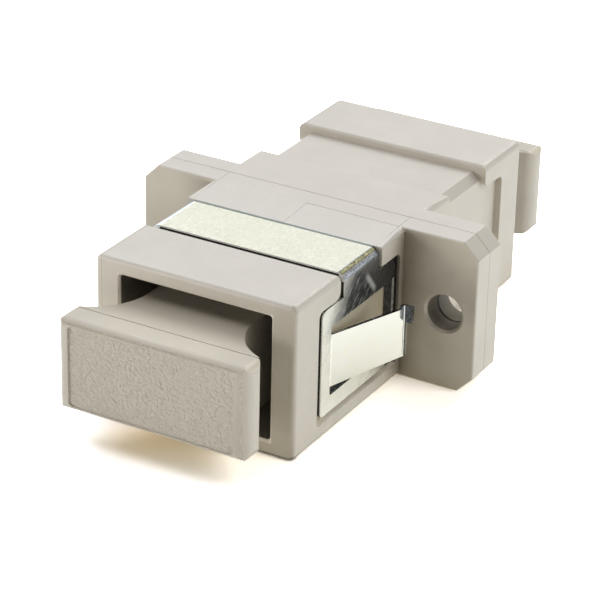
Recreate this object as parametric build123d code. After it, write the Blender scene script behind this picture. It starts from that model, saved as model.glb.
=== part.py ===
from build123d import *
from math import asin, degrees, sqrt
import os

os.makedirs("parts", exist_ok=True)

# A flanged panel adapter that joins two push-pull fibre plugs end to end, with a dust plug in each
# socket and a sheet spring clip over its front half. Millimetres, +Z up, +X across the flange,
# -Y towards the clip side. The origin is on the fibre axis, in the plane where the two half
# housings meet. Each moulding is drawn once with its outer end towards +Y, and the copy for the
# other side is the same moulding turned half round about Z.

# Fibre channel, from the axis outwards
FERRULE_BORE = 2.5
SLEEVE_WALL = 0.35
SLEEVE_LENGTH = 11.4
SLEEVE_SLOT = 0.5
SLEEVE_FLOAT = 0.1
SLEEVE_END_GAP = 0.05

# Latch insert: a base plate, the barrel that holds the sleeve, and two latch hooks
BARREL_WALL = 0.5
BARREL_LIP = 0.75
BARREL_LIP_ROOM = 0.1
BARREL_FUNNEL = 0.25
BARREL_NOSE = 0.15
BARREL_ROOT = 0.4
BASE_THICKNESS = 0.95
BASE_CORNER = 0.4
BASE_GAP = 0.05
HOOK_THICKNESS = 0.8
HOOK_WIDTH = 3.0
HOOK_CATCH = 0.45
HOOK_CATCH_LENGTH = 0.35
HOOK_LEAD = 0.65
HOOK_BEYOND_BARREL = 2.3
HOOK_ROOT = 0.4
HOOK_WINDOW_LENGTH = 0.85

# Dust plug
CUP_FIT = 0.08
CUP_WALL = 0.42
CUP_OVERLAP = 2.5
CUP_FLOOR_GAP = 0.1
CUP_EDGE = 0.15
CUP_TO_HOOK = 0.3
NECK_TO_HOOK = 0.3
NECK_WIDTH = 6.7
FISHTAIL_RADIUS = 3.5
GRIP_WIDTH = 12.0
GRIP_CORNER = 0.9
GRIP_SIDE = 1.085
GRIP_STANDOFF = 4.48
GRIP_THICKNESS = 1.7
GRIP_FRONT_EDGE = 0.55
GRIP_FRONT_CORNER = 0.8
GRIP_END_CORNER = 0.5
PLUG_HEIGHT = 5.5
GRIP_PANEL_SIDE = 0.8
GRIP_PANEL_END = 0.33
GRIP_PANEL_CORNER = 0.3
GRIP_PANEL_DEPTH = 0.1
GRIP_LINE = 0.06

# Half housing
HOOK_FLEX_ROOM = 0.55
PLUG_HEADROOM = 1.0
SIDE_WALL = 1.55
TOP_WALL = 0.9
MOUTH_DEPTH = 4.75
BODY_EDGE = 0.4
MOUTH_EDGE = 0.25
SOCKET_CORNER = 0.2
SOCKET_LEAD = 0.12
SEAT_LEDGE = 0.35
SEAT_DEPTH_GAP = 0.05
KEYWAY_WIDTH = 2.5
KEYWAY_LENGTH = 6.0
FLANGE_HALF = 1.43
FLANGE_CORNER = 0.95
FLANGE_EDGE = 0.12
HOLE_SPACING = 18.0
HOLE_DIAMETER = 2.2
HOLE_TO_END = 2.0
HOLE_RIM = 0.15
SEAM_BREAK = 0.04
LOCATING_PIN_DIAMETER = 1.0
LOCATING_PIN_LENGTH = 0.7
LOCATING_PIN_TO_HOLE = 1.35
LOCATING_PIN_FIT = 0.05
LOCATING_HOLE_EXTRA_DEPTH = 0.15
WITNESS_STEP = 0.015
TOP_FALL = 0.17

# Panel clip, one folded sheet
SHEET = 0.2
SHEET_BEND = 0.3
SHEET_STANDOFF = 0.05
STRAP_SETBACK = 2.74
STRAP_WIDTH = 3.88
STRAP_RECESS_DEPTH = 0.5
CHEEK_SETBACK = 0.76
CHEEK_LENGTH = 8.25
CHEEK_DROP = 1.62
CHEEK_FOOT = 1.23
CHEEK_UPPER_CORNER = 0.4
CHEEK_LOWER_CORNER = 0.25
CHEEK_NECK_BEND = 0.45
POCKET_DEPTH = 0.4
POCKET_FRONT_ROOM = 0.65
POCKET_REAR_ROOM = 0.3
POCKET_LOWER_ROOM = 0.23
POCKET_UPPER_ROOM = 0.27
RECESS_FRONT_ROOM = 0.75
RECESS_REAR_ROOM = 0.07
RECESS_CORNER = 0.48
RECESS_RIM = 0.18
WINDOW_REAR_RAIL = 0.8
WINDOW_FRONT_RAIL = 0.99
WINDOW_UPPER_RAIL = 1.23
WINDOW_LOWER_RAIL = 1.0
WINDOW_CORNER = 0.15
TANG_LOWER_SLIT = 0.56
TANG_UPPER_SLIT = 0.5
TANG_TAPER = 0.2
TANG_SPREAD = 1.7
TANG_ROOT = 0.45
TANG_BEND = 0.16
TANG_TIP_CORNER = 0.12
PANEL_GRIP = 2.45
TANG_LIP = 0.03
TAB_REACH = 0.58
TAB_HEIGHT = 1.0
TAB_RISE = 0.2

# Radii of the fibre channel and the faces that follow from them
SLEEVE_BORE_RADIUS = FERRULE_BORE / 2
SLEEVE_RADIUS = SLEEVE_BORE_RADIUS + SLEEVE_WALL
CHAMBER_RADIUS = SLEEVE_RADIUS + SLEEVE_FLOAT
BARREL_RADIUS = CHAMBER_RADIUS + BARREL_WALL
LIP_RADIUS = SLEEVE_BORE_RADIUS + BARREL_LIP_ROOM
CUP_BORE_RADIUS = BARREL_RADIUS + CUP_FIT
CUP_RADIUS = CUP_BORE_RADIUS + CUP_WALL
HOOK_TIP_X = CUP_RADIUS + CUP_TO_HOOK
HOOK_INNER_X = HOOK_TIP_X + HOOK_CATCH
HOOK_OUTER_X = HOOK_INNER_X + HOOK_THICKNESS

# Distances from the seam plane, along the fibre axis
CHAMBER_END = SLEEVE_LENGTH / 2 + SLEEVE_END_GAP
BARREL_END = CHAMBER_END + BARREL_LIP
HOOK_END = BARREL_END + HOOK_BEYOND_BARREL
BODY_REACH = HOOK_END + MOUTH_DEPTH
SEAT_DEPTH = BASE_THICKNESS + SEAT_DEPTH_GAP
PLUG_END = BODY_REACH + GRIP_STANDOFF
NECK_START = HOOK_END + NECK_TO_HOOK

# Half widths and half heights of the socket and the body round it
SOCKET_X = HOOK_OUTER_X + HOOK_FLEX_ROOM
SOCKET_Z = PLUG_HEIGHT / 2 + PLUG_HEADROOM
BODY_X = SOCKET_X + SIDE_WALL
BODY_Z = SOCKET_Z + TOP_WALL
SEAT_X = SOCKET_X + SEAT_LEDGE
SEAT_Z = SOCKET_Z + SEAT_LEDGE
FLANGE_X = HOLE_SPACING / 2 + HOLE_TO_END

# Clip edges seen from the side: y from the seam, z from the axis
STRAP_REAR = FLANGE_HALF + STRAP_SETBACK
STRAP_FRONT = STRAP_REAR + STRAP_WIDTH
CHEEK_REAR = FLANGE_HALF + CHEEK_SETBACK
CHEEK_FRONT = CHEEK_REAR + CHEEK_LENGTH
CHEEK_TOP = BODY_Z - CHEEK_DROP
CHEEK_BOTTOM = CHEEK_FOOT - BODY_Z
POCKET_X = BODY_X - POCKET_DEPTH
RECESS_Z = BODY_Z - STRAP_RECESS_DEPTH
CLIP_INNER_X = POCKET_X + SHEET_STANDOFF
CLIP_MID_X = CLIP_INNER_X + SHEET / 2
CLIP_MID_Z = RECESS_Z + SHEET_STANDOFF + SHEET / 2
WINDOW_REAR = CHEEK_REAR + WINDOW_REAR_RAIL
WINDOW_FRONT = CHEEK_FRONT - WINDOW_FRONT_RAIL
WINDOW_TOP = CHEEK_TOP - WINDOW_UPPER_RAIL
WINDOW_BOTTOM = CHEEK_BOTTOM + WINDOW_LOWER_RAIL
TANG_TOP = WINDOW_TOP - TANG_UPPER_SLIT
TANG_BOTTOM = WINDOW_BOTTOM + TANG_LOWER_SLIT

# A cutter runs this far past the faces that it opens
PAST = 1.0

# Two places closer than this are the same place
SAME = 0.0001


def slab(x0, x1, y0, y1, z0, z1):
    """A block between two corners."""
    return Pos((x0 + x1) / 2, (y0 + y1) / 2, (z0 + z1) / 2) * Box(x1 - x0, y1 - y0, z1 - z0)


def rod(radius, y0, y1, x=0, z=0):
    """A round bar along the fibre axis."""
    return Pos(x, (y0 + y1) / 2, z) * Rot(90, 0, 0) * Cylinder(radius, y1 - y0)


def cone(radius0, radius1, y0, y1, x=0, z=0):
    """A round taper along the fibre axis, from radius0 at y0 to radius1 at y1."""
    return Pos(x, (y0 + y1) / 2, z) * Rot(-90, 0, 0) * Cone(radius0, radius1, y1 - y0)


def edges_at(solid, y):
    """The edges of a solid that lie in one plane across the fibre axis."""
    return solid.edges().filter_by_position(Axis.Y, y - SAME, y + SAME)


def turned(solid):
    """The same moulding for the other side of the seam."""
    return Rot(0, 0, 180) * solid


# Alignment sleeve
def alignment_sleeve():
    """Split ceramic tube that centres the two ferrules."""
    half = SLEEVE_LENGTH / 2
    tube = rod(SLEEVE_RADIUS, -half, half) - rod(SLEEVE_BORE_RADIUS, -half - PAST, half + PAST)
    return tube - slab(-SLEEVE_SLOT / 2, SLEEVE_SLOT / 2, -half - PAST, half + PAST, 0, SLEEVE_RADIUS + PAST)


# Latch insert
def insert_base():
    """Base plate that is trapped between the two housings."""
    base = slab(BASE_GAP - SEAT_X, SEAT_X - BASE_GAP, 0, BASE_THICKNESS, BASE_GAP - SEAT_Z, SEAT_Z - BASE_GAP)
    return fillet(base.edges().filter_by(Axis.Y), BASE_CORNER)


def insert_barrel():
    """Barrel with a widened root and a bevelled nose."""
    barrel = rod(BARREL_RADIUS, 0, BARREL_END - BARREL_NOSE)
    barrel += cone(BARREL_RADIUS, BARREL_RADIUS - BARREL_NOSE, BARREL_END - BARREL_NOSE, BARREL_END)
    root_end = BASE_THICKNESS + BARREL_ROOT
    return barrel + cone(BARREL_RADIUS + BARREL_ROOT, BARREL_RADIUS, BASE_THICKNESS, root_end)


def latch_hook():
    """One springy hook on the +X side: a plain arm with a catch and a sloped lead-in at its end."""
    catch = HOOK_END - HOOK_LEAD - HOOK_CATCH_LENGTH
    root_end = BASE_THICKNESS + HOOK_ROOT
    outline = Polyline(
        (HOOK_INNER_X, 0),
        (HOOK_INNER_X, catch),
        (HOOK_TIP_X, catch),
        (HOOK_TIP_X, catch + HOOK_CATCH_LENGTH),
        (HOOK_INNER_X + HOOK_THICKNESS / 4, HOOK_END),
        (HOOK_OUTER_X - HOOK_THICKNESS / 4, HOOK_END),
        (HOOK_OUTER_X, HOOK_END - HOOK_THICKNESS / 2),
        (HOOK_OUTER_X, root_end),
        (HOOK_OUTER_X + HOOK_ROOT, BASE_THICKNESS),
        (HOOK_OUTER_X + HOOK_ROOT, 0),
        close=True,
    )
    return extrude(make_face(outline), HOOK_WIDTH / 2, both=True)


def latch_insert():
    """Sleeve holder and latch hooks, one moulding for one side of the seam."""
    hook = latch_hook()
    insert = insert_base() + insert_barrel() + hook + mirror(hook, Plane.YZ)
    insert -= rod(CHAMBER_RADIUS, -PAST, CHAMBER_END)
    insert -= cone(LIP_RADIUS, LIP_RADIUS + BARREL_FUNNEL, CHAMBER_END, BARREL_END)
    for side in (-1, 1):
        x0, x1 = sorted((side * HOOK_INNER_X, side * (HOOK_INNER_X - HOOK_WINDOW_LENGTH)))
        insert -= slab(x0, x1, -PAST, SEAT_DEPTH, -HOOK_WIDTH / 2, HOOK_WIDTH / 2)
    return insert


# Half housing
def housing_block():
    """Outer block, its long edges and its mouth rounded, and its edge at the seam broken."""
    block = slab(-BODY_X, BODY_X, 0, BODY_REACH, -BODY_Z, BODY_Z)
    block = fillet(block.edges().filter_by(Axis.Y), BODY_EDGE)
    block = fillet(edges_at(block, BODY_REACH), MOUTH_EDGE)
    return chamfer(edges_at(block, 0), SEAM_BREAK)


def housing_flange():
    """Half the thickness of the mounting flange, with bevelled corners and two holes."""
    outline = Rectangle(2 * FLANGE_X, 2 * BODY_Z)
    outline = chamfer(outline.vertices(), FLANGE_CORNER)
    plate = extrude(Plane.XZ * outline, -FLANGE_HALF)
    plate = fillet(edges_at(plate, FLANGE_HALF), FLANGE_EDGE)
    return chamfer(edges_at(plate, 0), SEAM_BREAK)


def flange_holes():
    """Cutter for the two mounting holes, their bevelled rims and the fine groove at the seam."""
    hole = HOLE_DIAMETER / 2
    cutters = []
    for x in (-HOLE_SPACING / 2, HOLE_SPACING / 2):
        cutters.append(rod(hole, -PAST, FLANGE_HALF + PAST, x))
        cutters.append(cone(hole, hole + HOLE_RIM, FLANGE_HALF - HOLE_RIM, FLANGE_HALF, x))
        cutters.append(cone(hole + SEAM_BREAK, hole, 0, SEAM_BREAK, x))
    return cutters


def socket_cutter():
    """Plug socket from the seat to the mouth, with a lead-in round its rim."""
    socket = slab(-SOCKET_X, SOCKET_X, 0, BODY_REACH, -SOCKET_Z, SOCKET_Z)
    socket = fillet(socket.edges().filter_by(Axis.Y), SOCKET_CORNER)
    rim = Plane.XZ.offset(-(BODY_REACH - SOCKET_LEAD)) * fillet(
        Rectangle(2 * SOCKET_X, 2 * SOCKET_Z).vertices(), SOCKET_CORNER
    )
    return socket + extrude(rim, -SOCKET_LEAD, taper=-45)


def side_outline(cheek_room=(0, 0, 0, 0), neck_room=(0, 0)):
    """Clip cheek and strap neck seen from the side, grown by the room at the front, rear, foot and top."""
    front, rear, below, above = cheek_room
    top = BODY_Z + PAST
    cheek = Pos((CHEEK_REAR - rear + CHEEK_FRONT + front) / 2, (CHEEK_BOTTOM - below + CHEEK_TOP + above) / 2) * (
        Rectangle(CHEEK_LENGTH + front + rear, CHEEK_TOP - CHEEK_BOTTOM + above + below)
    )
    upper = cheek.vertices().group_by(Axis.Y)[-1]
    cheek = fillet(upper, CHEEK_UPPER_CORNER)
    lower = cheek.vertices().group_by(Axis.Y)[0]
    cheek = fillet(lower, CHEEK_LOWER_CORNER)
    neck_y = (STRAP_REAR - neck_room[1] + STRAP_FRONT + neck_room[0]) / 2
    outline = cheek + Pos(neck_y, top / 2) * Rectangle(STRAP_WIDTH + sum(neck_room), top)
    inner = [v for v in outline.vertices() if abs(v.Y - CHEEK_TOP - above) < SAME and v.X > STRAP_FRONT]
    inner = sorted(inner, key=lambda v: v.X)[:1]
    return fillet(inner, CHEEK_NECK_BEND)


def clip_seat():
    """Cutters for the strap recess over the top, its rounded rim and the cheek pocket in each side."""
    cheek_room = (POCKET_FRONT_ROOM, POCKET_REAR_ROOM, POCKET_LOWER_ROOM, POCKET_UPPER_ROOM)
    outline = side_outline(cheek_room, (RECESS_FRONT_ROOM, RECESS_REAR_ROOM))
    pocket = extrude(Plane.YZ.offset(POCKET_X) * outline, POCKET_DEPTH + PAST)
    y0 = STRAP_REAR - RECESS_REAR_ROOM
    y1 = STRAP_FRONT + RECESS_FRONT_ROOM
    ring = slab(-BODY_X - PAST, BODY_X + PAST, y0, y1, RECESS_Z - RECESS_CORNER, BODY_Z + PAST)
    core = Pos(0, RECESS_Z / 2) * Rectangle(2 * POCKET_X, RECESS_Z)
    core = chamfer(core.vertices().group_by(Axis.Y)[-1], RECESS_CORNER)
    ring -= extrude(Plane.XZ.offset(PAST - y0) * core, y0 - y1 - 2 * PAST)
    rim = Pos(y1 + RECESS_RIM / 2, BODY_Z - RECESS_RIM / 2) * Rectangle(RECESS_RIM, RECESS_RIM)
    rim -= Pos(y1 + RECESS_RIM, BODY_Z - RECESS_RIM) * Circle(RECESS_RIM)
    return [pocket, mirror(pocket, Plane.YZ), ring, extrude(Plane.YZ * rim, BODY_X + PAST, both=True)]


def top_fall():
    """Cutter for the shallow slope of the top from the flange down to the strap's recess."""
    recess = STRAP_REAR - RECESS_REAR_ROOM
    slope = Polyline(
        (FLANGE_HALF, BODY_Z),
        (recess, BODY_Z - TOP_FALL),
        (recess, BODY_Z + PAST),
        (FLANGE_HALF, BODY_Z + PAST),
        close=True,
    )
    return extrude(Plane.YZ * make_face(slope), BODY_X + PAST, both=True)


def half_housing():
    """One half of the adapter body with its share of the flange."""
    housing = housing_block() + housing_flange()
    for cutter in clip_seat() + flange_holes() + [top_fall()]:
        housing -= cutter
    housing -= socket_cutter()
    seat = slab(-SEAT_X, SEAT_X, -PAST, SEAT_DEPTH, -SEAT_Z, SEAT_Z)
    housing -= fillet(seat.edges().filter_by(Axis.Y), BASE_CORNER)
    key = KEYWAY_WIDTH / 2
    housing -= slab(-key, key, BODY_REACH - KEYWAY_LENGTH, BODY_REACH + PAST, -BODY_Z - PAST, 0)
    witness = top_fall() & slab(-BODY_X - PAST, 0, 0, BODY_REACH, 0, BODY_Z + PAST)
    housing -= Pos(0, 0, -WITNESS_STEP) * witness
    return locating_pin(housing)


def locating_pin(housing):
    """A pin below one flange hole and a blind hole below the other, which take the other half's."""
    pin = LOCATING_PIN_DIAMETER / 2
    z = -(HOLE_DIAMETER / 2 + LOCATING_PIN_TO_HOLE + pin)
    x = HOLE_SPACING / 2
    housing += rod(pin, -LOCATING_PIN_LENGTH, FLANGE_HALF / 2, x, z)
    return housing - rod(pin + LOCATING_PIN_FIT, -PAST, LOCATING_PIN_LENGTH + LOCATING_HOLE_EXTRA_DEPTH, -x, z)


# Dust plug
def plug_plan():
    """Plan of the neck and grip: straight neck, concave fish-tail, then two rounded corners."""
    neck = NECK_WIDTH / 2
    side = GRIP_WIDTH / 2
    corner_x = side - GRIP_CORNER
    corner_y = PLUG_END - GRIP_SIDE
    hollow_x = neck + FISHTAIL_RADIUS
    across = hollow_x - corner_x
    reach = FISHTAIL_RADIUS + GRIP_CORNER
    hollow_y = corner_y - sqrt(reach * reach - across * across)
    turn = degrees(asin((corner_y - hollow_y) / reach))
    hollow = CenterArc((hollow_x, hollow_y), FISHTAIL_RADIUS, 180, -turn)
    corner = CenterArc((corner_x, corner_y), GRIP_CORNER, -turn, turn)
    front_x = side - GRIP_FRONT_CORNER
    front_y = PLUG_END - GRIP_FRONT_CORNER
    right = [
        Line((0, NECK_START), (neck, NECK_START)),
        Line((neck, NECK_START), (neck, hollow_y)),
        hollow,
        corner,
        Line((side, corner_y), (side, front_y)),
        CenterArc((front_x, front_y), GRIP_FRONT_CORNER, 0, 90),
        Line((front_x, PLUG_END), (0, PLUG_END)),
    ]
    outline = Curve() + right
    outline += mirror(outline, Plane.YZ)
    return make_face(outline)


def dust_plug():
    """Solid grip and neck with a round cup that pushes over the insert's barrel."""
    half = PLUG_HEIGHT / 2
    side = GRIP_WIDTH / 2
    line = PLUG_END - GRIP_THICKNESS
    plug = extrude(plug_plan(), half, both=True)
    grip = slab(-side, side, line, PLUG_END, -half, half)
    grip = fillet(grip.edges().filter_by(Axis.Y), GRIP_END_CORNER)
    plug &= grip + slab(-side, side, 0, line, -half, half)
    profile = Pos(PLUG_END / 2) * Rectangle(PLUG_END, PLUG_HEIGHT)
    profile = fillet(profile.vertices().group_by(Axis.X)[-1], GRIP_FRONT_EDGE)
    plug &= extrude(Plane.YZ * profile, side, both=True)
    panel_x = side - GRIP_PANEL_SIDE
    panel_z = half - GRIP_PANEL_END
    panel = slab(-panel_x, panel_x, PLUG_END - GRIP_PANEL_DEPTH, PLUG_END + PAST, -panel_z, panel_z)
    plug -= fillet(panel.edges().filter_by(Axis.Y), GRIP_PANEL_CORNER)
    for side in (-1, 1):
        z0, z1 = sorted((side * (half - GRIP_LINE), side * (half + PAST)))
        plug -= slab(-GRIP_WIDTH, GRIP_WIDTH, line - GRIP_LINE, line, z0, z1)
    cup_start = BARREL_END - CUP_OVERLAP
    floor = BARREL_END + CUP_FLOOR_GAP
    plug += cone(CUP_RADIUS - CUP_EDGE, CUP_RADIUS, cup_start, cup_start + CUP_EDGE)
    plug += rod(CUP_RADIUS, cup_start + CUP_EDGE, NECK_START)
    plug -= rod(CUP_BORE_RADIUS, cup_start - PAST, floor)
    return plug - cone(CUP_BORE_RADIUS + CUP_EDGE, CUP_BORE_RADIUS, cup_start, cup_start + CUP_EDGE)


# Panel clip
def clip_sheet():
    """The strap, its two bends and both cheeks, before the windows are cut."""
    path = FilletPolyline(
        (CLIP_MID_X, CHEEK_BOTTOM),
        (CLIP_MID_X, CLIP_MID_Z),
        (-CLIP_MID_X, CLIP_MID_Z),
        (-CLIP_MID_X, CHEEK_BOTTOM),
        radius=SHEET_BEND + SHEET / 2,
    )
    channel = extrude(Plane.XZ * trace(path, SHEET), -CHEEK_FRONT)
    return channel & extrude(Plane.YZ * side_outline(), BODY_X + PAST, both=True)


def clip_window():
    """Cutter for the window that the tang is cut from, through both cheeks."""
    window = Pos((WINDOW_REAR + WINDOW_FRONT) / 2, (WINDOW_BOTTOM + WINDOW_TOP) / 2) * Rectangle(
        WINDOW_FRONT - WINDOW_REAR, WINDOW_TOP - WINDOW_BOTTOM
    )
    window = fillet(window.vertices(), WINDOW_CORNER)
    return extrude(Plane.YZ * window, BODY_X + PAST, both=True)


def clip_tang():
    """Tang on the +X side: rooted at the window's front edge, sprung outwards, its end turned out."""
    tip_y = FLANGE_HALF + PANEL_GRIP + SHEET / 2
    tip_x = CLIP_MID_X + TANG_SPREAD
    lip_x = tip_x + TANG_LIP + TANG_BEND
    tab_x = tip_x + TAB_REACH
    route = [(CLIP_MID_X, WINDOW_FRONT + TANG_ROOT), (CLIP_MID_X, WINDOW_FRONT), (tip_x, tip_y)]
    leaf = trace(FilletPolyline(*route, (lip_x, tip_y), radius=TANG_BEND), SHEET)
    leaf = extrude(Plane.XY.offset(TANG_BOTTOM) * leaf, TANG_TOP - TANG_BOTTOM)
    taper = Polyline(
        (WINDOW_FRONT + PAST, TANG_BOTTOM),
        (WINDOW_FRONT + PAST, TANG_TOP),
        (WINDOW_FRONT, TANG_TOP),
        (tip_y, TANG_TOP - TANG_TAPER),
        (tip_y - PAST, TANG_TOP - TANG_TAPER),
        (tip_y - PAST, TANG_BOTTOM),
        close=True,
    )
    leaf &= extrude(Plane.YZ * make_face(taper), tab_x + PAST)
    tip = Pos(lip_x - PAST, (TANG_BOTTOM + TANG_TOP) / 2) * Rectangle(2 * PAST, TANG_TOP - TANG_BOTTOM)
    corner = tip.vertices().group_by(Axis.Y)[0].group_by(Axis.X)[-1]
    near_tip = slab(0, tip_x - TANG_BEND, 0, PAST + WINDOW_FRONT + TANG_ROOT, TANG_BOTTOM, TANG_TOP)
    leaf &= near_tip + extrude(Plane.XZ * fillet(corner, TANG_TIP_CORNER), -WINDOW_FRONT)
    bend_out = trace(FilletPolyline(route[-2], route[-1], (tab_x, tip_y), radius=TANG_BEND), SHEET)
    tab_top = TANG_TOP - TANG_TAPER + TAB_RISE
    tab = extrude(Plane.XY.offset(tab_top - TAB_HEIGHT) * bend_out, TAB_HEIGHT)
    near_end = tip_y + SHEET / 2 + TANG_BEND
    return leaf + (tab & slab(tip_x - TANG_BEND, tab_x + PAST, 0, near_end, -BODY_Z, BODY_Z))


def panel_clip():
    """Folded spring sheet: strap, two windowed cheeks and two sprung tangs."""
    tang = clip_tang()
    return clip_sheet() - clip_window() + tang + mirror(tang, Plane.YZ)


housing = half_housing()
insert = latch_insert()
plug = dust_plug()

export_step(turned(housing), "parts/front_housing.step")
export_step(housing, "parts/rear_housing.step")
export_step(turned(insert), "parts/front_latch_insert.step")
export_step(insert, "parts/rear_latch_insert.step")
export_step(alignment_sleeve(), "parts/alignment_sleeve.step")
export_step(turned(panel_clip()), "parts/panel_clip.step")
export_step(turned(plug), "parts/front_dust_plug.step")
export_step(plug, "parts/rear_dust_plug.step")
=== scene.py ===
import math

import bpy
from mathutils import Matrix, Vector


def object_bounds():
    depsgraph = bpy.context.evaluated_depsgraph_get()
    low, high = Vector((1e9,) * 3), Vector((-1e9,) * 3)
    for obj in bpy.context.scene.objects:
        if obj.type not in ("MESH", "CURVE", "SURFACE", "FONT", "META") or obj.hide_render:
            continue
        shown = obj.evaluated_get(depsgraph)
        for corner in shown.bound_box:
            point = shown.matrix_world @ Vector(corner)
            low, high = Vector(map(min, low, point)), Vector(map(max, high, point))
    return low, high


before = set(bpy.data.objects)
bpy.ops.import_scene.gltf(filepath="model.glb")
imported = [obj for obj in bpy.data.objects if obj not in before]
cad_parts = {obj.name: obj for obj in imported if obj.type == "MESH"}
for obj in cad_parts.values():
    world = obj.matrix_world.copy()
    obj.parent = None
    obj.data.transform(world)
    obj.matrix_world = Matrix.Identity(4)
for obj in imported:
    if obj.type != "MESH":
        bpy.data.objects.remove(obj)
CAD_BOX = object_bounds()

# Lengths and positions are in millimetres, in the part's own frame: the front is at -Y and the seam at Y 0.
# The scene itself is in metres.
MM = 0.001
ORIGIN = (0.0, 0.0, 0.0)

# Camera: where it stands and the way it looks
CAMERA_PLACE = (68.116, -123.365, 66.903)
CAMERA_AZIMUTH = 29.292
CAMERA_ELEVATION = 26.105
CAMERA_ROLL = 1.376
CAMERA_SENSOR = 36.0
CAMERA_LENS = 160.791
CAMERA_NEAR = 10.0
CAMERA_FAR = 10000.0

# Light: name, azimuth from the front towards +X, elevation, level and colour.
# Level 1 shows a surface that faces the light in its own colour.
LIGHTS = (
    ("back_light", 180.0, 42.0, 0.42, (1.00, 0.97, 0.94)),
    ("left_back_light", -135.0, 45.0, 0.24, (0.80, 0.90, 1.00)),
    ("left_light", -90.0, 45.0, 0.28, (0.78, 0.82, 1.00)),
    ("left_front_light", -45.0, 6.0, 0.52, (0.98, 0.97, 0.93)),
    ("right_high_light", 90.0, 45.0, 0.36, (1.00, 0.96, 0.92)),
    ("right_low_light", 120.0, 1.0, 0.58, (0.76, 0.89, 1.00)),
)
LIGHT_WIDTH = 35.0
AMBIENT = (0.01, 0.01, 0.01)
WHITE = (1.0, 1.0, 1.0)

# Every fade below is a remap: the range of its source, then the range of its result.
# Every noise is the size of its blobs in millimetres, its detail and its roughness.
# Every ramp is its stops, each a position and a colour.

# Floor: its colour in the light it throws back, seen by the camera, and mirrored in the part
FLOOR_HALF = 900.0
FLOOR_DROP = 0.01
FLOOR_COLOUR = (0.90, 0.89, 0.87)
FLOOR_SEEN = (2.45, 2.40, 2.32)
FLOOR_MIRRORED = (1.25, 1.24, 1.20)
FLOOR_GLOW = 0.13
FLOOR_GLOW_COLOUR = (1.0, 0.9, 0.6)

# Painted contact shadow on the floor close to the part: warm in front on the left, cooler elsewhere
CONTACT_SHADOW_REACH = 7.0
CONTACT_SHADOW_WARM = (1.73, 1.42, 0.96)
CONTACT_SHADOW_COOL = (2.00, 1.93, 1.85)
CONTACT_SHADOW_FADE = (0.14, 0.62, 1.0, 0.0)
SHADOW_WARM_FADE_Y = (-15.0, -11.0, 1.0, 0.0)
SHADOW_WARM_FADE_X = (-1.5, 3.0, 1.0, 0.25)

# Plastic: flow marks, specks, and the moulded skin's slow waves
FLOW_NOISE = (3.0, 3.0, 0.55)
FLOW_DARK = (0.3, 0.955)
FLOW_LIGHT = (0.7, 1.03)
SPECK_NOISE = (0.25, 2.0, 0.6)
SPECK_FADE = (0.35, 0.75, 0.0, 0.10)
SPECK_LEVEL = 0.8
WAVE_NOISE = (1.4, 1.0, 0.5)
WAVE_DEPTH = 0.012
WAVE_STRENGTH = 0.5
SKIN_DETAIL = (3.0, 0.6)
SKIN_STRENGTH = 0.7
SHEEN_NOISE = (0.9, 3.0, 0.6)
SHEEN_RANGE = (0.3, 0.7)
SHEEN_SPREAD = 0.06
PLASTIC_IOR = 1.56
# The painted light marks and the panel's pale flecks use the colour at this level
LIGHT_AND_FLECK_LEVEL = 1.45
# A painted warm brown shade for faces in shadow
BROWN_SHADE = (0.50, 0.43, 0.28)

# Painted shade in inner corners: its reach, and its level and hue where it is darkest. The same dark tone
# paints the other shade marks and the panel's dark flecks.
CORNER_SHADE_REACH = 1.9
CORNER_SHADE_FADE = (0.45, 0.95, 1.0, 0.0)
SHADE_AND_FLECK_LEVEL = 0.26
SHADE_AND_FLECK_HUE = (1.0, 0.92, 0.77)

# Painted shade on bevels: they are a little darker than the faces beside them
BEVEL_SHADE_FADE = (0.06, 0.24, 0.0, 0.25)

# How squarely a face looks to the front, up or to a side: from not counted to fully counted
TURNED_FRONT = (-0.5, -0.97, 0.0, 1.0)
TURNED_UP = (0.5, 0.9, 0.0, 1.0)
TURNED_SIDE = (0.5, 0.95, 0.0, 1.0)

# The sockets' half width, half height and reach, and the level of the painted shade on their walls. The
# lead-in's edge gets a painted highlight.
SOCKET = (5.15, 3.80, 13.35)
SOCKET_SHADE_LEVEL = 0.30
LEAD_IN_HIGHLIGHT = (4.93, 3.88, 13.60)
LEAD_START_Y = -13.41

# The mouth's face: painted shade at the upper right and along the foot, painted brown shade below the top,
# and painted light to the upper left. A painted shadow darkens the edge under its foot.
RIGHT_SIDE = (4.7, 5.5, 0.0, 1.0)
MOUTH_FACE_Y = -12.90
MOUTH_DOWN = (0.10, 0.0, -0.995)
MOUTH_SHADE = (-3.6, -0.4, 0.15, 0.0)
MOUTH_FOOT_SHADE = (3.7, 4.9, 0.03, 0.32)
MOUTH_BROWN_SHADE = (-4.2, -3.0, 0.0, 0.24)
MOUTH_UP_LEFT = (-0.62, 0.0, 0.785)
MOUTH_LIGHT = (-1.5, 5.0, 0.0, 0.60)
FOOT_SHADOW_Z = -4.3
FOOT_SHADOW_FADE = (-0.10, -0.50, 0.0, 0.92)

# The flange's front: painted brown shade, and painted light above and far out below. On the right there is
# painted shade beside the body and along the top edge.
FLANGE_START_X = 6.6
FLANGE_LIGHT = 0.55
FLANGE_LIGHT_Z = (1.2, 3.4, 0.0, 1.0)
FLANGE_LIGHT_X = (7.0, 8.8, 0.0, 1.0)
NOOK_START_X = 6.37
NOOK_SHADE = (6.5, 7.9, 0.38, 0.0)
NOOK_BROWN_SHADE = 0.22
BROW_SHADE_Z = (2.8, 4.4, 0.0, 0.20)
BROW_SHADE_X = (8.2, 10.4, 1.0, 0.3)
FAR_LIGHT_X = (8.8, 10.4, 0.0, 1.0)
FAR_LIGHT_Z = (0.6, -0.6, 0.0, 0.28)

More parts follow.
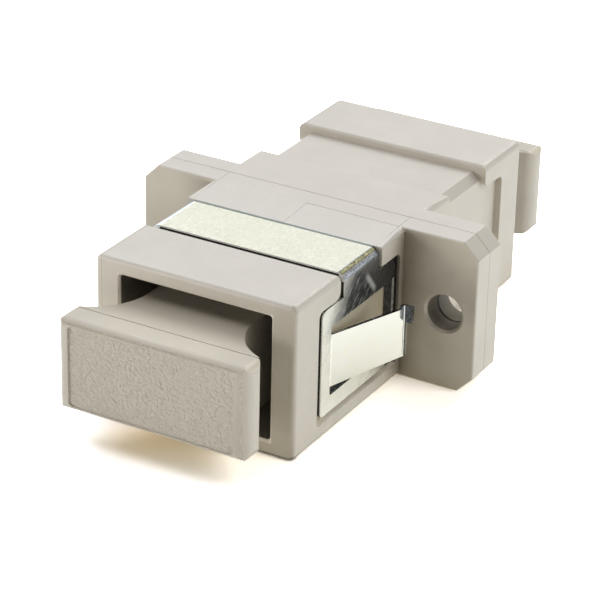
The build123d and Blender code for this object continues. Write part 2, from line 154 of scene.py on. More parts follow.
# The flange's holes: where they are, how far in they get painted shade, and the dark seam between the halves
HOLE_X = (7.88, 10.12)
HOLE_HALF_Z = 1.12
HOLE_REACH_Y = 1.27
HOLE_SHADE = 0.80
HOLE_ROUGHER = 0.5
HOLE_SEAM_HALF = 0.11
HOLE_SEAM_DARK = 0.9

# The pocket behind the clip's cheek: its floor, its rear wall and its lower ledge, and where its floor shows
# through the window, through the slit below the tang and behind the clip. All get painted shade except the
# ledge, which gets painted light.
POCKET_X = 5.95
POCKET_FRONT_Y = -11.20
POCKET_REAR_Y = -1.89
POCKET_SKIN = 0.01
WALL_X = (POCKET_X - 0.02, POCKET_X + 0.22)
WALL_Y = (POCKET_REAR_Y - 0.03, POCKET_REAR_Y + 0.03)
WALL_TOP_Z = 3.35
LEDGE_X = (POCKET_X + POCKET_SKIN, 6.33)
LEDGE_Z = (-3.70, -3.60)
SLIT_FRONT_Y = -9.6
SLIT_TOP_Z = -1.80
REAR_GAP_Y = -2.6
WINDOW_SHADE = (0.50, 0.44, 0.32)
SHADE_AND_SEAM_DARK = (0.04, 0.037, 0.028)

# Painted light on the rim behind the clip's strap and on the step up to the rear block
RIM_Y = (-4.2, -3.9)
RIM_Z = 4.2
RIM_FACING = -0.5
RIM_LIGHT_STRENGTH = 0.9
RIM_LIGHT = (0.70, 0.78, 0.85)
BLOCK_START_Y = 3.0
BLOCK_START_Z = 3.2
BLOCK_LIGHT = (-0.4, -0.9, 0.0, 0.30)

# The plug, measured outward from the seam: a spark-eroded panel on its grip, painted shade on the neck, on
# the top near the mouth and on the wings, and a painted warm light tint on upper faces
PANEL_Y = 17.93
PANEL_SKIN = (PANEL_Y - 0.05, PANEL_Y + 0.02)
PANEL_UNSHADED_Y = 0.08 - PANEL_Y
PIT_NOISE = (0.18, 3.0, 0.6)
PIT_DEPTH = 0.34
PIT_STRENGTH = 0.9
FLECK_NOISE = (0.13, 3.0, 0.7)
FLECK_DARK = (0.36, 0.50, 0.03, 0.0)
FLECK_PALE = (0.40, 0.62, 0.54, 0.72)
NECK_END_Y = 16.0
NECK_HALF_X = 3.6
NECK_SHADE = 0.62
PLUG_UP_LIGHT_TINT = (1.0, 0.965, 0.88)
PLUG_UP_LIGHT_FADE = (0.0, 0.6, 0.0, 0.8)
PLUG_TOP_SHADE = (14.6, 16.4, 0.20, 0.0)
WING_FADE = (2.5, 5.0, 0.0, 1.0)
WING_SHADE = 0.16

# The clip: where its bends start, its outer faces, the ends of its tangs, and the rail behind its windows
BEND_X = 5.70
BEND_Z = 3.90
CHEEK_X = 6.20
CHEEK_SKIN = 0.03
STRAP_TOP_Z = 4.40
TANG_TIP_X = 7.90
REAR_RAIL_Y = -3.0

# The clip's sheet: polishing lines that slant over the cheeks, pits and grit
LINE_SLANT = -31.0
LINE_NOISE = (0.16, 3.0, 0.6)
LINE_STRETCH = (1.0, 0.06, 1.0)
LINE_DEPTH = 0.0015
LINE_SHEEN = (0.3, 0.7, 0.10, 0.20)
BRUSH_NOISE = (0.20, 4.0, 0.65)
BRUSH_STRETCH = (1.0, 0.22, 1.0)
PLATING_NOISE = (0.14, 2.0, 0.6)
PLATING_DEPTH = 0.0012
GRIT_NOISE = (0.11, 2.0, 0.7)
STEEL_STRENGTH = 0.5
CHEEK_ROUGHER = 0.15

# Tones of the strap, the tangs and the cheeks
STRAP_NOISE = (1.8, 3.0, 0.6)
STRAP_TONES = ((0.3, (0.77, 0.77, 0.64)), (0.7, (0.80, 0.80, 0.68)))
STRAP_PITS = (0.42, 0.72, 0.0, 0.35)
STRAP_PIT_TONE = (0.66, 0.66, 0.52)
TANG_NOISE = (0.5, 3.0, 0.6)
TANG_STRETCH = (1.0, 0.4, 1.0)
TANG_TONES = ((0.3, (0.78, 0.79, 0.74)), (0.7, (0.83, 0.84, 0.79)))
TANG_PITS = (0.42, 0.72, 0.0, 0.30)
TANG_PIT_TONE = (0.62, 0.63, 0.56)
CHEEK_NOISE = (1.5, 3.0, 0.6)
CHEEK_TONES = ((0.3, (0.86, 0.88, 0.84)), (0.7, (0.94, 0.95, 0.90)))
CHEEK_PITS = (0.45, 0.75, 0.0, 0.25)
CHEEK_PIT_TONE = (0.72, 0.74, 0.72)

# Painted dark reflection on the cheek's neck: above a slanting line, brushed in front and smooth behind
DARK_REFLECTION_WAY = (0.0, 0.77, -0.64)
DARK_REFLECTION_START = (0.0, -8.05, 3.54)
DARK_REFLECTION_FADE = (-0.55, 1.10, 0.0, 1.0)
DARK_REFLECTION_FADE_Z = (0.9, 1.9, 0.0, 1.0)
BRUSHED_TONES = ((0.38, (0.022, 0.024, 0.026)), (0.52, (0.11, 0.115, 0.12)), (0.66, (0.46, 0.48, 0.49)))
SMOOTH_TONES = ((0.3, (0.075, 0.078, 0.095)), (0.7, (0.15, 0.155, 0.165)))
SMOOTH_TOP = (3.0, 4.0, 0.0, 1.0)
SMOOTH_TOP_TONE = (0.30, 0.31, 0.33)
SMOOTH_WAY = (0.0, 0.77, 0.64)
SMOOTH_START = (0.0, -5.6, 2.9)
SMOOTH_FADE = (-0.2, 0.5, 0.0, 1.0)

# Glints: one across the neck, one along the rear rail, one on the tang's tab
NECK_GLINT_PLACE = (0.0, -5.03, 2.69)
NECK_GLINT_ACROSS = (0.0, 0.771, 0.637)
NECK_GLINT_ALONG = (0.0, 0.637, -0.771)
NECK_GLINT_HALF_WIDTH = (0.06, 0.26, 1.0, 0.0)
NECK_GLINT_HALF_LENGTH = (0.55, 1.0, 1.0, 0.0)
NECK_GLINT_BRUSH = (0.3, 0.6, 0.65, 1.0)
NECK_GLINT_TONE = (0.88, 0.92, 0.93)
RAIL_GLINT_Y = -2.36
RAIL_GLINT_TOP_Z = 1.9
RAIL_GLINT_HALF_WIDTH = (0.09, 0.15, 1.0, 0.0)
RAIL_GLINT_TONE = (0.90, 0.95, 0.97)
TAB_GLINT_X = 8.22
TAB_GLINT_Z = 1.35
TAB_GLINT_TONE = (0.85, 0.90, 0.92)

# The bends: a painted dark reflection, a grey band with an olive speckled one above it. On the left a bright
# tone covers both.
GREY_BAND = (BEND_Z + 0.02, BEND_Z + 0.16, 0.0, 1.0)
GREY_TONES = ((0.40, (0.15, 0.155, 0.16)), (0.62, (0.34, 0.35, 0.36)))
OLIVE_NOISE = (0.085, 2.0, 0.7)
OLIVE_BAND = (BEND_Z + 0.37, BEND_Z + 0.41, 0.0, 1.0)
OLIVE_TOP_Z = STRAP_TOP_Z - 0.004
OLIVE_TONES = ((0.38, (0.008, 0.008, 0.003)), (0.50, (0.040, 0.038, 0.016)), (0.64, (0.15, 0.15, 0.08)))
LEFT_BEND = (BEND_Z - 0.1, BEND_Z + 0.1, 0.0, 1.0)
LEFT_BEND_TONE = (0.80, 0.86, 0.92)

# Sheared edges: dark where they look up, a painted white highlight to the front with painted shade on its
# inner side, and grey-blue at the tangs' tips
UP_EDGE_FACING = 0.7
UP_EDGE_TOP_Z = 3.2
UP_EDGE_TONES = ((0.42, (0.03, 0.032, 0.04)), (0.60, (0.60, 0.63, 0.68)))
FRONT_EDGE_FACING = -0.55
FRONT_EDGE_END_Y = REAR_RAIL_Y - 0.5
FRONT_EDGE_X = CHEEK_X + 0.05
FRONT_EDGE_HIGHLIGHT = (0.96, 0.97, 0.98)
FRONT_EDGE_METAL = (0.0, 1.0, 1.0, 0.3)
INNER_EDGE_X = CHEEK_X - 0.07
UNDER_EDGE_X = BEND_X + 0.1
UNDER_EDGE_Z = STRAP_TOP_Z - 0.09
SHADED_EDGE_TONE = (0.015, 0.016, 0.018)
TIP_FACING = -0.45
TIP_TONES = ((0.4, (0.05, 0.055, 0.07)), (0.65, (0.16, 0.18, 0.21)))

# The ceramic sleeve
GRIND_NOISE = (0.4, 3.0, 0.6)
GRIND_STRETCH = (0.2, 3.0, 0.2)
GRIND_DEPTH = 0.001
GRIND_STRENGTH = 0.5
GRIND_SHEEN = (0.3, 0.7, 0.10, 0.22)
CERAMIC_NOISE = (1.5, 2.0, 0.5)
CERAMIC_TONES = ((0.3, (0.84, 0.83, 0.80)), (0.7, (0.88, 0.87, 0.84)))
CERAMIC_IOR = 2.0

SPECULAR = 0.5
SHELTER_SAMPLES = 8


def shade(colour, level, hue=(1.0, 1.0, 1.0)):
    return tuple(min(1.0, part * level * share) for part, share in zip(colour, hue))


class Graph:
    """A material's node tree, with short ways to add and join nodes, and the base colour painted so far."""

    def __init__(self, name):
        self.material = bpy.data.materials.new(name)
        self.material.use_nodes = True
        self.tree = self.material.node_tree
        self.tree.nodes.clear()
        self.output = self.tree.nodes.new("ShaderNodeOutputMaterial")
        where = self.node("TexCoord").outputs
        self.place = where["Object"]
        self.outward = where["Normal"]
        self.tint = None

    def node(self, kind, links=None, values=None, **settings):
        made = self.tree.nodes.new("ShaderNode" + kind)
        for key, value in settings.items():
            setattr(made, key, value)
        for key, value in (values or {}).items():
            made.inputs[key].default_value = value
        for key, source in (links or {}).items():
            self.tree.links.new(source, made.inputs[key])
        return made

    def fill(self, socket, value):
        """Put a number or a colour on a socket, or link it."""
        if isinstance(value, (int, float)):
            socket.default_value = value
        elif isinstance(value, tuple):
            socket.default_value = value + (1.0,)
        else:
            self.tree.links.new(value, socket)

    def stretched(self, scale, place=None):
        links = {"Vector": place or self.place}
        return self.node("Mapping", links, {"Scale": scale}).outputs["Vector"]

    def noise(self, size, detail, roughness, place=None):
        values = {"Scale": 1.0 / (size * MM), "Detail": detail, "Roughness": roughness}
        return self.node("TexNoise", {"Vector": place or self.place}, values).outputs["Fac"]

    def ramp(self, source, *stops):
        made = self.node("ValToRGB", {"Fac": source})
        elements = made.color_ramp.elements
        while len(elements) < len(stops):
            elements.new(0.5)
        for element, (position, colour) in zip(elements, stops):
            element.position = position
            element.color = colour + (1.0,)
        return made.outputs["Color"]

    def remap(self, source, from_min, from_max, to_min, to_max):
        values = {"From Min": from_min, "From Max": from_max, "To Min": to_min, "To Max": to_max}
        return self.node("MapRange", {"Value": source}, values).outputs["Result"]

    def math(self, operation, *values):
        made = self.node("Math", operation=operation)
        for socket, value in zip(made.inputs, values):
            self.fill(socket, value)
        return made.outputs[0]

    def both(self, *masks):
        result = masks[0]
        for mask in masks[1:]:
            result = self.math("MULTIPLY", result, mask)
        return result

    def size(self, source):
        return self.math("ABSOLUTE", source)

    def over(self, source, limit):
        return self.math("GREATER_THAN", source, limit)

    def under(self, source, limit):
        return self.math("LESS_THAN", source, limit)

    def between(self, source, low, high):
        return self.both(self.over(source, low), self.under(source, high))

    def at(self, name):
        """One axis of the position, in millimetres."""
        return self.math("DIVIDE", self.node("SeparateXYZ", {"Vector": self.place}).outputs[name], MM)

    def facing(self, name):
        """One axis of the surface's own normal."""
        return self.node("SeparateXYZ", {"Vector": self.outward}).outputs[name]

    def along(self, direction, start=ORIGIN):
        """Distance in millimetres from a start point along a direction."""
        scaled = Vector(direction) / MM
        dot = self.node("VectorMath", {0: self.place}, {1: scaled}, operation="DOT_PRODUCT")
        return self.math("SUBTRACT", dot.outputs["Value"], Vector(direction).dot(Vector(start)))

    def inside(self, half_x, half_z, half_y):
        """1 within a box round the origin, given by its half sizes in millimetres."""
        axes = self.node("SeparateXYZ", {"Vector": self.place}).outputs
        halves = (("X", half_x), ("Z", half_z), ("Y", half_y))
        return self.both(*(self.under(self.size(axes[name]), half * MM) for name, half in halves))

    def shelter(self, reach, **settings):
        """How open the surroundings are within a reach: 1 on a free face, less in a corner."""
        values = {"Distance": reach * MM}
        made = self.node("AmbientOcclusion", values=values, samples=SHELTER_SAMPLES, **settings)
        return made.outputs["AO"]

    def blend(self, factor, a, b):
        """Colour a where the factor is 0 and b where it is 1."""
        made = self.node("Mix", data_type="RGBA")
        for name, kind, value in (("Factor", "VALUE", factor), ("A", "RGBA", a), ("B", "RGBA", b)):
            self.fill(next(s for s in made.inputs if s.name == name and s.type == kind), value)
        return next(s for s in made.outputs if s.type == "RGBA")

    def paint(self, colour, *masks):
        """Lay a colour over the base colour where all masks meet."""
        self.tint = self.blend(self.both(*masks), self.tint, colour)

    def bump(self, height, depth, strength, normal=None):
        """A bump whose full height is this many millimetres."""
        links = {"Height": height}
        if normal is not None:
            links["Normal"] = normal
        return self.node("Bump", links, {"Strength": strength, "Distance": depth * MM}).outputs["Normal"]

    def finish(self, shader):
        self.tree.links.new(shader.outputs[0], self.output.inputs["Surface"])
        return self.material


def mark_mouth(g, painted_shade_and_fleck, painted_light_and_fleck):
    """Painted light and shade on the mouth's face, a painted shadow under its foot and a painted highlight
    on its lead-in's edge.
    """
    y = g.at("Y")
    low = g.along(MOUTH_DOWN)
    face = g.both(g.under(y, MOUTH_FACE_Y), g.remap(g.facing("Y"), *TURNED_FRONT))
    # Painted shade at the upper right and along the foot, painted brown shade below the top, painted light
    # to the upper left
    g.paint(painted_shade_and_fleck, face, g.remap(g.at("X"), *RIGHT_SIDE), g.remap(low, *MOUTH_SHADE))
    g.paint(painted_shade_and_fleck, face, g.remap(low, *MOUTH_FOOT_SHADE))
    g.paint(BROWN_SHADE, face, g.remap(low, *MOUTH_BROWN_SHADE))
    g.paint(painted_light_and_fleck, face, g.remap(g.along(MOUTH_UP_LEFT), *MOUTH_LIGHT))
    # Painted highlight on the lead-in's edge
    g.paint(painted_light_and_fleck, g.under(y, LEAD_START_Y), g.inside(*LEAD_IN_HIGHLIGHT))
    # Painted shadow on the edge under the foot
    foot_shadow = g.both(g.under(y, MOUTH_FACE_Y), g.under(g.at("Z"), FOOT_SHADOW_Z))
    g.paint(SHADE_AND_SEAM_DARK, foot_shadow, g.remap(g.facing("Z"), *FOOT_SHADOW_FADE))


def mark_flange(g, painted_shade_and_fleck, painted_light_and_fleck):
    """Painted light and shade on the flange's front, and painted shade and a dark seam line in its holes.
    Returns the mask of the holes.
    """
    x = g.size(g.at("X"))
    z = g.at("Z")
    seam = g.size(g.at("Y"))
    right = g.remap(g.at("X"), *RIGHT_SIDE)
    turned = g.remap(g.facing("Y"), *TURNED_FRONT)
    # Painted light above and far out below, painted shade and brown shade beside the body and along the top
    # edge
    plate = g.both(g.over(x, FLANGE_START_X), turned, FLANGE_LIGHT)
    g.paint(painted_light_and_fleck, plate, g.remap(z, *FLANGE_LIGHT_Z), g.remap(x, *FLANGE_LIGHT_X))
    nook = g.both(g.over(x, NOOK_START_X), turned, g.under(g.at("Y"), 0.0))
    g.paint(painted_shade_and_fleck, nook, right, g.remap(x, *NOOK_SHADE))
    g.paint(painted_shade_and_fleck, nook, right, g.remap(z, *BROW_SHADE_Z), g.remap(x, *BROW_SHADE_X))
    g.paint(BROWN_SHADE, nook, NOOK_BROWN_SHADE)
    g.paint(painted_light_and_fleck, nook, g.remap(x, *FAR_LIGHT_X), g.remap(z, *FAR_LIGHT_Z))
    # Painted shade inside the holes, and a dark line at the seam
    hole = g.both(g.between(x, *HOLE_X), g.under(g.size(z), HOLE_HALF_Z))
    g.paint(painted_shade_and_fleck, hole, g.under(seam, HOLE_REACH_Y), HOLE_SHADE)
    g.paint(SHADE_AND_SEAM_DARK, hole, g.under(seam, HOLE_SEAM_HALF), HOLE_SEAM_DARK)
    return hole


def mark_pocket(g, painted_light_and_fleck):
    """Painted shade in the pocket behind the clip's cheek, on its rear wall and in the gaps of the clip, and
    painted light on its lower ledge.
    """
    x = g.size(g.at("X"))
    y = g.at("Y")
    z = g.at("Z")
    front = g.under(y, 0.0)
    # Painted shade on the rear wall, the pocket's floor, the slit and the rear gap, and painted light on the
    # lower ledge
    g.paint(SHADE_AND_SEAM_DARK, front, g.between(x, *WALL_X), g.between(y, *WALL_Y), g.under(z, WALL_TOP_Z))
    g.paint(painted_light_and_fleck, front, g.between(x, *LEDGE_X), g.between(z, *LEDGE_Z), g.over(y, POCKET_FRONT_Y))
    pocket = g.both(front, g.between(x, POCKET_X - POCKET_SKIN, POCKET_X + POCKET_SKIN))
    g.paint(WINDOW_SHADE, pocket)
    g.paint(SHADE_AND_SEAM_DARK, pocket, g.under(z, SLIT_TOP_Z), g.over(y, SLIT_FRONT_Y))
    g.paint(SHADE_AND_SEAM_DARK, pocket, g.over(y, REAR_GAP_Y))


def mark_top(g, painted_light_and_fleck):
    """Painted light on the rim behind the strap and on the step up to the rear block."""
    y = g.at("Y")
    z = g.at("Z")
    # Painted light on the rim's wall and on the step
    rim_light = g.both(g.under(g.facing("Y"), RIM_FACING), g.over(z, RIM_Z), g.between(y, *RIM_Y), RIM_LIGHT_STRENGTH)
    g.paint(RIM_LIGHT, rim_light, g.under(g.size(g.at("X")), BEND_X))
    block = g.both(g.over(y, BLOCK_START_Y), g.over(z, BLOCK_START_Z))
    g.paint(painted_light_and_fleck, block, g.remap(g.facing("Y"), *BLOCK_LIGHT))


def mark_plug(g, colour, painted_shade_and_fleck, painted_light_and_fleck, normal):
    """The plug's eroded panel with its flecks, painted shade on its neck, top and wings, and a painted warm
    light tint on faces turned up. Returns the normal with the panel's pits.
    """
    x = g.size(g.at("X"))
    reach = g.size(g.at("Y"))
    up = g.remap(g.facing("Z"), *TURNED_UP)
    panel = g.between(reach, *PANEL_SKIN)
    fleck = g.noise(*FLECK_NOISE)
    g.paint(painted_shade_and_fleck, panel, g.remap(fleck, *FLECK_DARK))
    g.paint(painted_light_and_fleck, panel, g.remap(fleck, *FLECK_PALE))
    # Painted shade on the neck's sides, on the top near the mouth and on the wings, and a painted warm light
    # tint on faces turned up
    neck = g.both(g.under(reach, NECK_END_Y), g.under(x, NECK_HALF_X))
    g.paint(painted_shade_and_fleck, neck, g.remap(g.size(g.facing("X")), *TURNED_SIDE), NECK_SHADE)
    g.paint(shade(colour, 1.0, PLUG_UP_LIGHT_TINT), g.remap(g.facing("Z"), *PLUG_UP_LIGHT_FADE))
    g.paint(painted_shade_and_fleck, up, g.remap(reach, *PLUG_TOP_SHADE))
    g.paint(painted_shade_and_fleck, up, g.remap(x, *WING_FADE), WING_SHADE)
    return g.bump(g.both(panel, g.noise(*PIT_NOISE)), PIT_DEPTH, PIT_STRENGTH, normal)


def plastic(name, colour, roughness, grain, grain_size, unshaded_above, kind=None):
    """Moulded plastic: flow marks and specks in its colour, painted shade in inner corners and on bevels,
    and a fine moulded skin.

    The grain is the skin's depth. Faces above the unshaded height get no painted corner shade. The kind adds
    the marks of the housing or the plug, among them painted light and shade.
    """
    g = Graph(name)
    # A dark tone for the painted shade marks and the panel's dark flecks, and a pale tone for the painted
    # light marks and the pale flecks
    painted_shade_and_fleck = shade(colour, SHADE_AND_FLECK_LEVEL, SHADE_AND_FLECK_HUE)
    painted_light_and_fleck = shade(colour, LIGHT_AND_FLECK_LEVEL)
    flow = tuple((position, shade(colour, level)) for position, level in (FLOW_DARK, FLOW_LIGHT))
    g.tint = g.ramp(g.noise(*FLOW_NOISE), *flow)
    g.paint(shade(colour, SPECK_LEVEL), g.remap(g.noise(*SPECK_NOISE), *SPECK_FADE))
    # Painted shade in inner corners, darker where the surroundings close in
    corner_shade = g.remap(g.shelter(CORNER_SHADE_REACH, only_local=True), *CORNER_SHADE_FADE)
    corner_shade = g.both(corner_shade, g.under(g.at("Y"), 0.0), g.under(g.at("Z"), unshaded_above))
    if kind == "plug":
        corner_shade = g.both(corner_shade, g.over(g.at("Y"), PANEL_UNSHADED_Y))
    g.paint(painted_shade_and_fleck, corner_shade)
    # Painted shade on bevels
    g.paint(painted_shade_and_fleck, g.remap(g.size(g.both(g.facing("X"), g.facing("Z"))), *BEVEL_SHADE_FADE))
    sheen = (roughness - SHEEN_SPREAD, roughness + SHEEN_SPREAD)
    rough = g.remap(g.noise(*SHEEN_NOISE), *SHEEN_RANGE, *sheen)
    normal = g.bump(g.noise(*WAVE_NOISE), WAVE_DEPTH, WAVE_STRENGTH)
    normal = g.bump(g.noise(grain_size, *SKIN_DETAIL), grain, SKIN_STRENGTH, normal)
    if kind == "housing":
        mark_mouth(g, painted_shade_and_fleck, painted_light_and_fleck)
        hole = mark_flange(g, painted_shade_and_fleck, painted_light_and_fleck)
        mark_pocket(g, painted_light_and_fleck)
        mark_top(g, painted_light_and_fleck)
        # Painted shade on the sockets' walls
        g.paint(shade(colour, SOCKET_SHADE_LEVEL), g.inside(*SOCKET))
        rough = g.math("ADD", rough, g.both(hole, HOLE_ROUGHER))
    if kind == "plug":
        normal = mark_plug(g, colour, painted_shade_and_fleck, painted_light_and_fleck, normal)
    shader = g.node(
        "BsdfPrincipled",
        {"Base Color": g.tint, "Roughness": rough, "Normal": normal},
        {"IOR": PLASTIC_IOR, "Specular IOR Level": SPECULAR},
    )
    return g.finish(shader)


def mark_painted_reflection(g, cheek, brushed):
    """A painted dark reflection on the neck and rear rail of each cheek, with painted glints on them."""
    y = g.at("Y")
    z = g.at("Z")
    # Painted dark reflection on the neck and the rear rail
    upper = g.both(g.remap(g.along(DARK_REFLECTION_WAY, DARK_REFLECTION_START), *DARK_REFLECTION_FADE), g.remap(z, *DARK_REFLECTION_FADE_Z))
    smooth = g.blend(g.remap(z, *SMOOTH_TOP), g.ramp(brushed, *SMOOTH_TONES), SMOOTH_TOP_TONE)
    behind = g.remap(g.along(SMOOTH_WAY, SMOOTH_START), *SMOOTH_FADE)
    dark = g.blend(behind, g.ramp(brushed, *BRUSHED_TONES), smooth)
    g.paint(dark, cheek, g.math("MAXIMUM", upper, g.over(y, REAR_RAIL_Y)))
    # Painted glints on the neck and along the rear rail
    across = g.remap(g.size(g.along(NECK_GLINT_ACROSS, NECK_GLINT_PLACE)), *NECK_GLINT_HALF_WIDTH)
    length = g.remap(g.size(g.along(NECK_GLINT_ALONG, NECK_GLINT_PLACE)), *NECK_GLINT_HALF_LENGTH)
    g.paint(NECK_GLINT_TONE, cheek, across, length, g.remap(brushed, *NECK_GLINT_BRUSH))
    stripe = g.remap(g.size(g.math("SUBTRACT", y, RAIL_GLINT_Y)), *RAIL_GLINT_HALF_WIDTH)
    g.paint(RAIL_GLINT_TONE, cheek, stripe, g.under(z, RAIL_GLINT_TOP_Z))


def mark_edges(g, x, grit):
    """The clip's sheared edges, with a painted highlight to the front and painted shade on their inner side,
    and its left bend. Returns the mask of the edges that look to the front.
    """
    y = g.at("Y")
    z = g.at("Z")
    up = g.both(g.over(g.facing("Z"), UP_EDGE_FACING), g.under(z, UP_EDGE_TOP_Z))
    g.paint(g.ramp(grit, *UP_EDGE_TONES), up)
    # Painted highlight on the edges that look to the front, and painted shade on their inner and lower parts
    sheared = g.both(g.under(g.facing("Y"), FRONT_EDGE_FACING), g.under(y, FRONT_EDGE_END_Y))
    sheared = g.both(sheared, g.under(x, FRONT_EDGE_X))
    g.paint(FRONT_EDGE_HIGHLIGHT, sheared)
    g.paint(SHADED_EDGE_TONE, sheared, g.under(x, INNER_EDGE_X), g.under(z, BEND_Z))
    g.paint(SHADED_EDGE_TONE, sheared, g.under(x, UNDER_EDGE_X), g.under(z, UNDER_EDGE_Z))
    g.paint(LEFT_BEND_TONE, g.under(g.at("X"), -BEND_X), g.remap(z, *LEFT_BEND))
    g.paint(g.ramp(grit, *TIP_TONES), g.over(x, TANG_TIP_X), g.under(g.facing("Y"), TIP_FACING))
    g.paint(TAB_GLINT_TONE, g.over(x, TAB_GLINT_X), g.over(z, TAB_GLINT_Z))
    return sheared


def steel(name):
    """Bright plated spring sheet: slanting polishing lines, a pitted skin, and painted reflections and
    glints in some places.
    """
    g = Graph(name)
    x = g.size(g.at("X"))
    z = g.at("Z")
    slant = {"Rotation": (math.radians(LINE_SLANT), 0.0, 0.0)}
    turned = g.node("Mapping", {"Vector": g.place}, slant).outputs["Vector"]
    lines = g.noise(*LINE_NOISE, g.stretched(LINE_STRETCH, turned))
    brushed = g.noise(*BRUSH_NOISE, g.stretched(BRUSH_STRETCH, turned))
    pits = g.noise(*PLATING_NOISE)
    grit = g.noise(*GRIT_NOISE)

    g.tint = g.ramp(g.noise(*STRAP_NOISE), *STRAP_TONES)
    g.paint(STRAP_PIT_TONE, g.remap(pits, *STRAP_PITS))
    tang = g.ramp(g.noise(*TANG_NOISE, g.stretched(TANG_STRETCH, turned)), *TANG_TONES)
    g.paint(g.blend(g.remap(pits, *TANG_PITS), tang, TANG_PIT_TONE), g.over(x, CHEEK_X + CHEEK_SKIN))
    side = g.over(x, BEND_X)
    cheek = g.both(side, g.under(x, CHEEK_X + CHEEK_SKIN))
    plate = g.ramp(g.noise(*CHEEK_NOISE), *CHEEK_TONES)
    g.paint(g.blend(g.remap(pits, *CHEEK_PITS), plate, CHEEK_PIT_TONE), cheek)
    mark_painted_reflection(g, cheek, brushed)
    # Painted dark reflection on the bends
    g.paint(g.ramp(grit, *GREY_TONES), side, g.remap(z, *GREY_BAND))
    olive = g.ramp(g.noise(*OLIVE_NOISE), *OLIVE_TONES)
    g.paint(olive, side, g.remap(z, *OLIVE_BAND), g.under(z, OLIVE_TOP_Z))
    sheared = mark_edges(g, x, grit)

    rough = g.math("ADD", g.remap(lines, *LINE_SHEEN), g.both(cheek, CHEEK_ROUGHER))
    metallic = g.remap(sheared, *FRONT_EDGE_METAL)
    normal = g.bump(lines, LINE_DEPTH, STEEL_STRENGTH)
    normal = g.bump(pits, PLATING_DEPTH, STEEL_STRENGTH, normal)
    links = {"Base Color": g.tint, "Roughness": rough, "Normal": normal, "Metallic": metallic}
    return g.finish(g.node("BsdfPrincipled", links))


def ceramic(name):
    """Ground white ceramic with a faint grinding pattern round its length."""
    g = Graph(name)
    rings = g.noise(*GRIND_NOISE, g.stretched(GRIND_STRETCH))
    tint = g.ramp(g.noise(*CERAMIC_NOISE), *CERAMIC_TONES)
    normal = g.bump(rings, GRIND_DEPTH, GRIND_STRENGTH)
    shader = g.node(
        "BsdfPrincipled",
        {"Base Color": tint, "Roughness": g.remap(rings, *GRIND_SHEEN), "Normal": normal},
        {"IOR": CERAMIC_IOR, "Specular IOR Level": SPECULAR},
    )
    return g.finish(shader)


def floor_material():
    """Matt white sheet. The camera and reflections see it lifted to white, and it keeps its shadows. The
    camera also sees a painted contact shadow close to the part.
    """
    g = Graph("floor_paper")
    path = g.node("LightPath").outputs
    mirrored = g.math("MAXIMUM", path["Is Glossy Ray"], path["Is Transmission Ray"])
    colour = g.blend(mirrored, FLOOR_COLOUR, FLOOR_MIRRORED)
    # Painted contact shadow close to the part, warmer in front on the left
    warm = g.both(g.remap(g.at("Y"), *SHADOW_WARM_FADE_Y), g.remap(g.at("X"), *SHADOW_WARM_FADE_X))
    corner = g.blend(warm, CONTACT_SHADOW_COOL, CONTACT_SHADOW_WARM)
    seen = g.blend(g.remap(g.shelter(CONTACT_SHADOW_REACH), *CONTACT_SHADOW_FADE), FLOOR_SEEN, corner)
    paper = g.node("BsdfDiffuse", {"Color": g.blend(path["Is Camera Ray"], colour, seen)})
    glow = g.node("Emission", values={"Color": FLOOR_GLOW_COLOUR + (1.0,), "Strength": FLOOR_GLOW})
    lit = g.node("AddShader", {0: paper.outputs[0], 1: glow.outputs[0]})
    split = g.node("MixShader", {0: path["Is Camera Ray"], 1: lit.outputs[0], 2: paper.outputs[0]})
    return g.finish(split)


def make_floor():
    low = CAD_BOX[0].z - FLOOR_DROP * MM
    half = FLOOR_HALF * MM
    corners = [(-half, -half, low), (half, -half, low), (half, half, low), (-half, half, low)]
    mesh = bpy.data.meshes.new("floor")
    mesh.from_pydata(corners, [], [(0, 1, 2, 3)])
    mesh.materials.append(floor_material())
    floor = bpy.data.objects.new("floor", mesh)
    bpy.context.scene.collection.objects.link(floor)


def back_vector(azimuth, elevation):
    """The way from the part to a camera or light that stands at an azimuth and elevation."""
    a, e = math.radians(azimuth), math.radians(elevation)
    return Vector((math.sin(a) * math.cos(e), -math.cos(a) * math.cos(e), math.sin(e)))


def make_camera():
    azimuth, roll = math.radians(CAMERA_AZIMUTH), math.radians(CAMERA_ROLL)
    back = back_vector(CAMERA_AZIMUTH, CAMERA_ELEVATION)
    level = Vector((math.cos(azimuth), math.sin(azimuth), 0.0))
    upright = back.cross(level)
    right = math.cos(roll) * level + math.sin(roll) * upright
    up = math.cos(roll) * upright - math.sin(roll) * level
    camera = bpy.data.cameras.new("camera")
    camera.lens = CAMERA_LENS
    camera.sensor_width = CAMERA_SENSOR
    camera.clip_start = CAMERA_NEAR * MM
    camera.clip_end = CAMERA_FAR * MM
    item = bpy.data.objects.new("camera", camera)
    matrix = Matrix((right, up, back)).transposed().to_4x4()
    matrix.translation = Vector(CAMERA_PLACE) * MM
    item.matrix_world = matrix
    bpy.context.scene.collection.objects.link(item)
    bpy.context.scene.camera = item


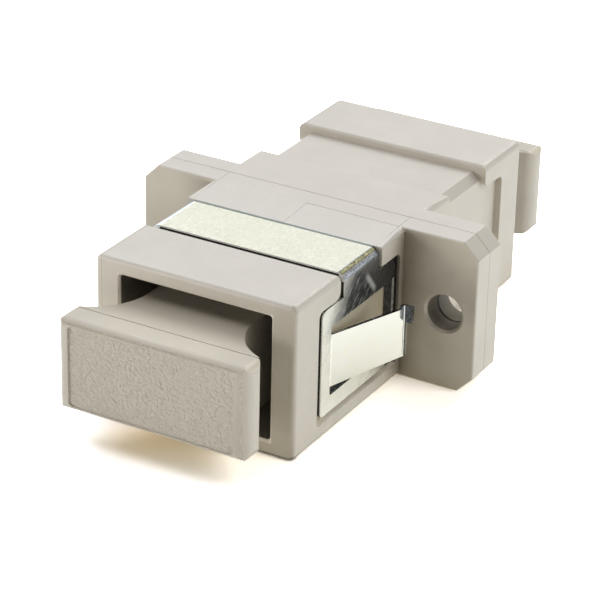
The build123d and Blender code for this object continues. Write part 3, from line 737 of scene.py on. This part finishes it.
def make_light(name, azimuth, elevation, level, colour):
    light = bpy.data.lights.new(name, "SUN")
    light.energy = level * math.pi
    light.color = colour
    light.angle = math.radians(LIGHT_WIDTH)
    item = bpy.data.objects.new(name, light)
    item.rotation_mode = "QUATERNION"
    item.rotation_quaternion = back_vector(azimuth, elevation).to_track_quat("Z", "Y")
    bpy.context.scene.collection.objects.link(item)


def make_world():
    """White where it is seen or mirrored, and a plain low light elsewhere."""
    world = bpy.data.worlds.new("studio")
    world.use_nodes = True
    nodes, links = world.node_tree.nodes, world.node_tree.links
    nodes.clear()
    path = nodes.new("ShaderNodeLightPath").outputs
    clear = path["Is Camera Ray"]
    for ray in ("Is Glossy Ray", "Is Transmission Ray"):
        either = nodes.new("ShaderNodeMath")
        either.operation = "MAXIMUM"
        links.new(clear, either.inputs[0])
        links.new(path[ray], either.inputs[1])
        clear = either.outputs[0]
    mix = nodes.new("ShaderNodeMixShader")
    links.new(clear, mix.inputs[0])
    for slot, colour in ((1, AMBIENT), (2, WHITE)):
        room = nodes.new("ShaderNodeBackground")
        room.inputs["Color"].default_value = colour + (1.0,)
        links.new(room.outputs[0], mix.inputs[slot])
    output = nodes.new("ShaderNodeOutputWorld")
    links.new(mix.outputs[0], output.inputs["Surface"])
    bpy.context.scene.world = world


MATERIALS = {
    "housing_plastic": plastic(
        "housing_plastic", (0.60, 0.555, 0.480), roughness=0.38, grain=0.010, grain_size=0.16,
        unshaded_above=4.40, kind="housing",
    ),
    "plug_plastic": plastic(
        "plug_plastic", (0.585, 0.541, 0.462), roughness=0.42, grain=0.026, grain_size=0.15,
        unshaded_above=2.60, kind="plug",
    ),
    "insert_plastic": plastic(
        "insert_plastic", (0.45, 0.42, 0.36), roughness=0.40, grain=0.006, grain_size=0.20, unshaded_above=9.0,
    ),
    "clip_steel": steel("clip_steel"),
    "sleeve_ceramic": ceramic("sleeve_ceramic"),
}
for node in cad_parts.values():
    for slot in node.material_slots:
        slot.material = MATERIALS[slot.material.name]

make_camera()
make_floor()
make_world()
for light in LIGHTS:
    make_light(*light)

bpy.context.scene.view_settings.view_transform = "Standard"
